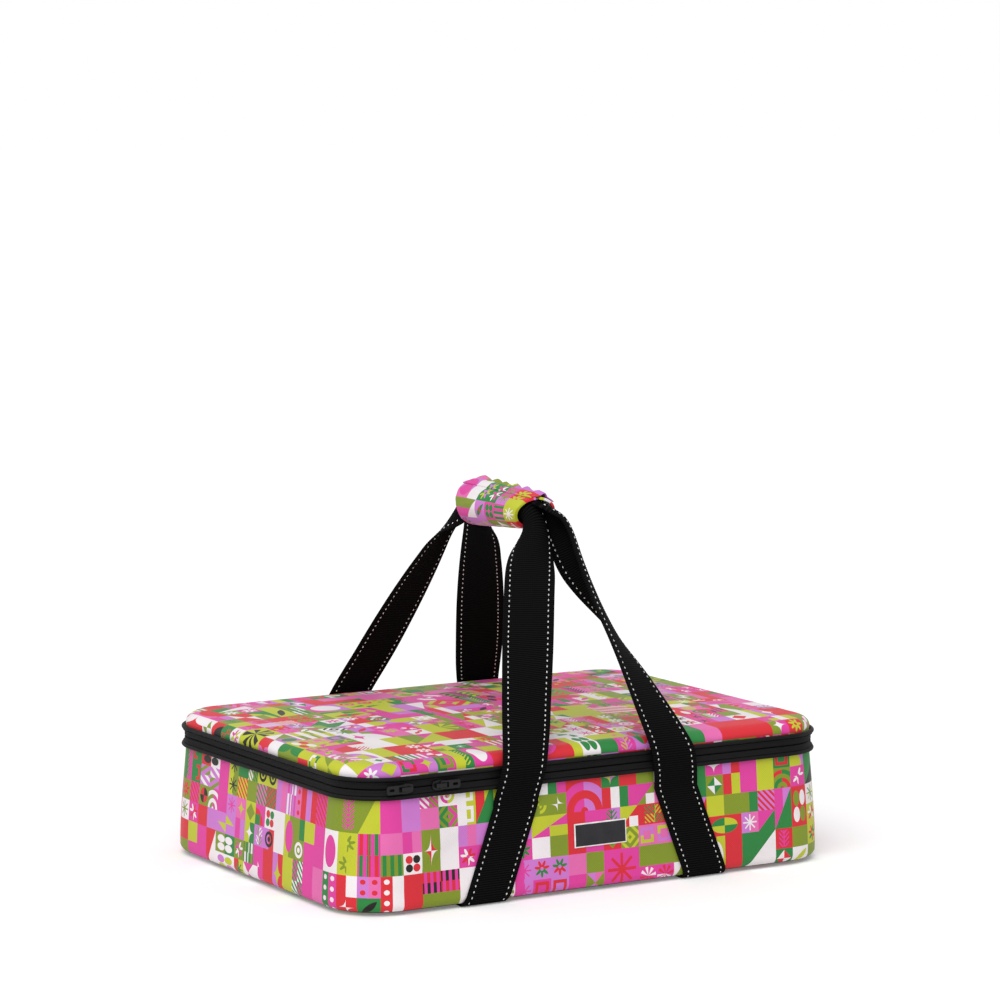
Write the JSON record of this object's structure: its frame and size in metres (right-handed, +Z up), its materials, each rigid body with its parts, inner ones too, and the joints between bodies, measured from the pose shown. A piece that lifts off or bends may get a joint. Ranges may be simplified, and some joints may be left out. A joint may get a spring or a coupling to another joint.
{
  "type": "insulated dish carrier",
  "caption": "Low insulated carrier bag with a hinged, zipped lid, two webbing straps joined in a padded grip, and lined, padded walls.",
  "frame": {"origin": "on the ground under the middle of the box", "axes": "+X along the long side to the viewer's right, -Y out of the front face with the label, +Z up"},
  "size_m": [0.4312, 0.3204, 0.2973],
  "materials": {
    "printed_cloth": "patchwork print on smooth woven polyester",
    "webbing": "ribbed black webbing with white stitching",
    "tape": "woven black tape",
    "piping": "cloth-covered cord, black",
    "coil": "nylon coil",
    "hardware": "black enamel on zinc",
    "lining": "silver foil-faced film",
    "foam": "closed-cell foam",
    "board": "polyethylene board",
    "fastener": "hook and loop tape",
    "label": "flat woven label with a thin white edge, bare"
  },
  "bodies": {
    "box": {"outer_wall": "printed_cloth", "outer_bottom": "printed_cloth", "base_board": "board", "bottom_foam": "foam", "wall_foam": "foam", "inner_liner": "lining", "rim_binding": "tape", "lower_piping": "piping", "lower_zip_tape": "tape", "lower_zip_coil": "coil", "back_hinge_tape": "tape", "front_label": "label", "left_strap_sewn": "webbing", "right_strap_sewn": "webbing"},
    "lid": {"lid_outer": "printed_cloth", "lid_foam": "foam", "lid_liner": "lining", "lid_binding": "tape", "upper_piping": "piping", "upper_zip_tape": "tape", "upper_zip_coil": "coil"},
    "left_slider": {"left_slider": "hardware"},
    "left_pull": {"left_pull": "hardware"},
    "right_slider": {"right_slider": "hardware"},
    "right_pull": {"right_pull": "hardware"},
    "left_strap": {"left_strap_loop": "webbing"},
    "right_strap": {"right_strap_loop": "webbing", "grip_foam": "foam", "grip_cover": "printed_cloth", "grip_loop_tape": "fastener"},
    "grip_flap": {"grip_flap": "printed_cloth", "grip_hook_tape": "fastener"}
  },
  "joints": [
    {"name": "lid_hinge", "type": "hinge", "parent": "box", "child": "lid", "pos_m": [0, 0.1556, 0.0935], "axis": [-1, 0, 0], "range_deg": [0, 105], "deforming": ["back_hinge_tape"]},
    {"name": "left_strap_swing", "type": "hinge", "parent": "box", "child": "left_strap", "pos_m": [-0.064, 0, 0.072], "axis": [0, -1, 0], "range_deg": [0, 120], "deforming": ["left_strap_loop"]},
    {"name": "right_strap_swing", "type": "hinge", "parent": "box", "child": "right_strap", "pos_m": [0.073, 0, 0.072], "axis": [0, 1, 0], "range_deg": [0, 120], "deforming": ["right_strap_loop", "grip_foam", "grip_cover", "grip_loop_tape"]},
    {"name": "grip_flap_peel", "type": "hinge", "parent": "right_strap", "child": "grip_flap", "pos_m": [-0.00336, 0, 0.29348], "axis": [0, -1, 0], "range_deg": [0, 130], "deforming": ["grip_flap", "grip_hook_tape"]},
    {"name": "left_slider_turn", "type": "hinge", "parent": "box", "child": "left_slider", "pos_m": [-0.1714, -0.1134, 0.0935], "axis": [0, 0, -1], "range_deg": [0, 90]},
    {"name": "left_pull_flip", "type": "hinge", "parent": "left_slider", "child": "left_pull", "pos_m": [-0.17, -0.1556, 0.0935], "axis": [0, 0, 1], "range_deg": [0, 140]},
    {"name": "right_slider_travel", "type": "slide", "parent": "box", "child": "right_slider", "axis": [1, 0, 0], "range_m": [0, 0.305]},
    {"name": "right_pull_flip", "type": "hinge", "parent": "right_slider", "child": "right_pull", "pos_m": [-0.141, -0.1556, 0.0935], "axis": [0, 0, -1], "range_deg": [0, 140]}
  ],
  "couplings": [
    {"joint": "left_strap_swing", "follows": "lid_hinge", "ratio": 1.1429},
    {"joint": "right_strap_swing", "follows": "lid_hinge", "ratio": 1.1429}
  ]
}
